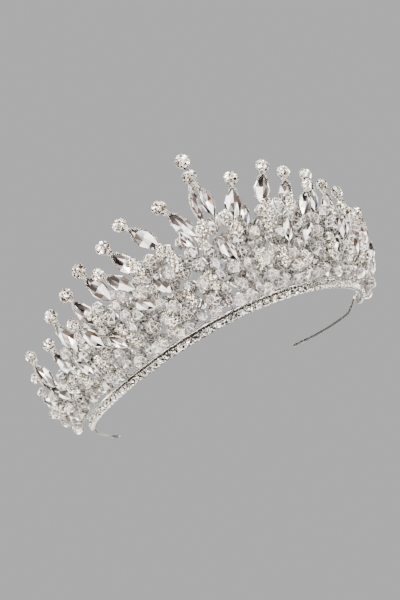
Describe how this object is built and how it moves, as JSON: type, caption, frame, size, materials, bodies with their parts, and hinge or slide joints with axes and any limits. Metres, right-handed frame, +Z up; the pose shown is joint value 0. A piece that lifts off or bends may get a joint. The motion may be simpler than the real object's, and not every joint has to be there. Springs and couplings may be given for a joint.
{
  "type": "bridal tiara",
  "caption": "Wired bridal tiara: a bent headband wire with a chain of stones along its lower edge and a fan of bead sprays tipped with navette and round crystals.",
  "frame": {"origin": "middle of the footprint, on the plane the tiara stands on", "axes": "+Z up through the crown, front of the tiara towards -Y, +X to the right as seen from the front"},
  "size_m": [0.1696, 0.1344, 0.0637],
  "materials": {
    "silver_wire": "polished silver-plated wire",
    "stone_chain": "plated square cups set with clear foiled stones",
    "clear_beads": "clear cut glass rondelles on fine plated wire",
    "foiled_crystal": "clear cut crystal with a silver foil back in a claw setting"
  },
  "bodies": {
    "root": {"headband_wire": "silver_wire", "cup_chain": "stone_chain", "binding_left": "silver_wire", "binding_centre": "silver_wire", "binding_right": "silver_wire", "spray_centre": "clear_beads", "chaton_centre_lower": "foiled_crystal", "chaton_centre_upper": "foiled_crystal", "navette_centre_left": "foiled_crystal", "navette_centre_right": "foiled_crystal", "spray_left_1": "clear_beads", "spray_left_2": "clear_beads", "spray_left_3": "clear_beads", "spray_left_4": "clear_beads", "spray_left_5": "clear_beads", "spray_left_6": "clear_beads", "spray_left_7": "clear_beads", "end_tuft_left": "clear_beads", "navette_left_1": "foiled_crystal", "chaton_left_1": "foiled_crystal", "navette_left_2": "foiled_crystal", "chaton_left_2": "foiled_crystal", "navette_left_3": "foiled_crystal", "chaton_left_3": "foiled_crystal", "navette_left_4": "foiled_crystal", "chaton_left_4": "foiled_crystal", "navette_left_5": "foiled_crystal", "chaton_left_5": "foiled_crystal", "navette_left_6": "foiled_crystal", "chaton_left_6": "foiled_crystal", "navette_left_7": "foiled_crystal", "chaton_left_7": "foiled_crystal", "navette_left_8": "foiled_crystal", "chaton_left_8": "foiled_crystal", "spray_right_1": "clear_beads", "spray_right_2": "clear_beads", "spray_right_3": "clear_beads", "spray_right_4": "clear_beads", "spray_right_5": "clear_beads", "spray_right_6": "clear_beads", "spray_right_7": "clear_beads", "end_tuft_right": "clear_beads", "navette_right_1": "foiled_crystal", "chaton_right_1": "foiled_crystal", "navette_right_2": "foiled_crystal", "chaton_right_2": "foiled_crystal", "navette_right_3": "foiled_crystal", "chaton_right_3": "foiled_crystal", "navette_right_4": "foiled_crystal", "chaton_right_4": "foiled_crystal", "navette_right_5": "foiled_crystal", "chaton_right_5": "foiled_crystal", "navette_right_6": "foiled_crystal", "chaton_right_6": "foiled_crystal", "navette_right_7": "foiled_crystal", "chaton_right_7": "foiled_crystal", "navette_right_8": "foiled_crystal", "chaton_right_8": "foiled_crystal"}
  },
  "joints": []
}
